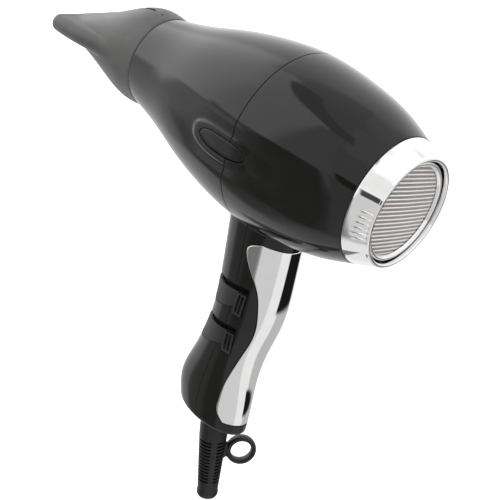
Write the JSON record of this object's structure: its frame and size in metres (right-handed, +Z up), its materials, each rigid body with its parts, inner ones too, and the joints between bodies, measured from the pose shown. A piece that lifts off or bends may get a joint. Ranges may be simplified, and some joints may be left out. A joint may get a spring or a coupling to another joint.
{
  "type": "hair dryer",
  "caption": "Full-size hand-held hair dryer with a slot nozzle, a chrome intake ring, a chrome grip inlay, slide switches and a cord sleeve with a hang loop.",
  "frame": {"origin": "middle of the grip, where a hand holds the dryer; the barrel's axis is 100 mm above it", "axes": "+Z up along the handle towards the barrel, +X backwards along the barrel's axis towards the intake, so the nozzle points to -X, and +Y to the dryer's right"},
  "size_m": [0.2326, 0.0904, 0.2617],
  "materials": {
    "gloss_black": "high gloss",
    "satin_grey": "fine satin, heat resistant",
    "matte_black": "matte moulded",
    "soft_black": "matte flexible PVC",
    "mirror_chrome": "polished chrome plate",
    "bright_steel": "woven or turned steel",
    "lamination_steel": "stacked laminations or resistance wire",
    "mica": "pressed mica sheet",
    "copper": "enamelled copper wire",
    "brass": "plain brass",
    "carbon": "dull carbon or cable jacket",
    "foam": "open cell filter foam",
    "grey_plastic": "plain moulded nylon",
    "red_plastic": "plain moulded phenolic"
  },
  "bodies": {
    "casing": {"front_barrel": "gloss_black", "rear_barrel": "gloss_black", "side_plug_left": "gloss_black", "side_plug_right": "gloss_black", "handle_front_shell": "gloss_black", "handle_rear_shell": "gloss_black", "grip_inlay": "mirror_chrome", "handle_screw_upper": "bright_steel", "handle_screw_lower": "bright_steel", "upper_switch_block": "red_plastic", "lower_switch_block": "red_plastic", "cord_clamp": "grey_plastic", "cord_clamp_screw_front": "bright_steel", "cord_clamp_screw_rear": "bright_steel", "outlet_grille": "bright_steel", "heat_tube": "mica", "mica_board_upright": "mica", "mica_board_level": "mica", "heating_coil_front": "lamination_steel", "heating_coil_middle": "lamination_steel", "heating_coil_rear": "lamination_steel", "thermostat": "brass", "thermal_fuse": "bright_steel", "fan_duct": "matte_black", "motor_damper": "soft_black", "stator_stack": "lamination_steel", "field_winding_upper": "copper", "field_winding_lower": "copper", "front_bracket": "grey_plastic", "rear_bracket": "grey_plastic", "front_bearing": "brass", "rear_bearing": "brass", "brush_left": "carbon", "brush_right": "carbon", "ioniser_box": "grey_plastic", "emitter_needle": "bright_steel", "terminal_block": "grey_plastic", "noise_capacitor": "red_plastic", "wiring_loom": "carbon"},
    "nozzle_clip": {"nozzle_clip_ring": "matte_black"},
    "nozzle": {"nozzle": "satin_grey"},
    "filter": {"filter_carrier": "mirror_chrome", "filter_mesh": "bright_steel", "foam_filter": "foam"},
    "intake_ring": {"intake_ring": "mirror_chrome"},
    "armature": {"motor_shaft": "bright_steel", "rotor_core": "lamination_steel", "armature_winding_front": "copper", "armature_winding_rear": "copper", "commutator": "copper", "impeller": "matte_black", "impeller_nut": "brass"},
    "upper_switch": {"upper_switch_slider": "matte_black"},
    "lower_switch": {"lower_switch_slider": "matte_black"},
    "cord_sleeve": {"strain_relief": "soft_black"}
  },
  "joints": [
    {"name": "nozzle_pull", "type": "slide", "parent": "casing", "child": "nozzle_clip", "axis": [-1, 0, 0], "range_m": [0, 0.03]},
    {"name": "nozzle_spin", "type": "hinge", "parent": "nozzle_clip", "child": "nozzle", "pos_m": [-0.105, 0, 0.1], "axis": [1, 0, 0], "continuous": true},
    {"name": "filter_pull", "type": "slide", "parent": "casing", "child": "filter", "axis": [1, 0, 0], "range_m": [0, 0.03]},
    {"name": "ring_twist", "type": "hinge", "parent": "filter", "child": "intake_ring", "pos_m": [0.059, 0, 0.1], "axis": [1, 0, 0], "range_deg": [0, 20]},
    {"name": "fan_spin", "type": "hinge", "parent": "casing", "child": "armature", "pos_m": [0.005, 0, 0.1], "axis": [1, 0, 0], "continuous": true},
    {"name": "upper_switch_slide", "type": "slide", "parent": "casing", "child": "upper_switch", "axis": [0, 0, 1], "range_m": [0, 0.003]},
    {"name": "lower_switch_slide", "type": "slide", "parent": "casing", "child": "lower_switch", "axis": [0, 0, 1], "range_m": [0, 0.003]},
    {"name": "cord_swivel", "type": "hinge", "parent": "casing", "child": "cord_sleeve", "pos_m": [0.0008, 0, -0.065], "axis": [-0.2164, 0, 0.9763], "range_deg": [-150, 150]}
  ]
}
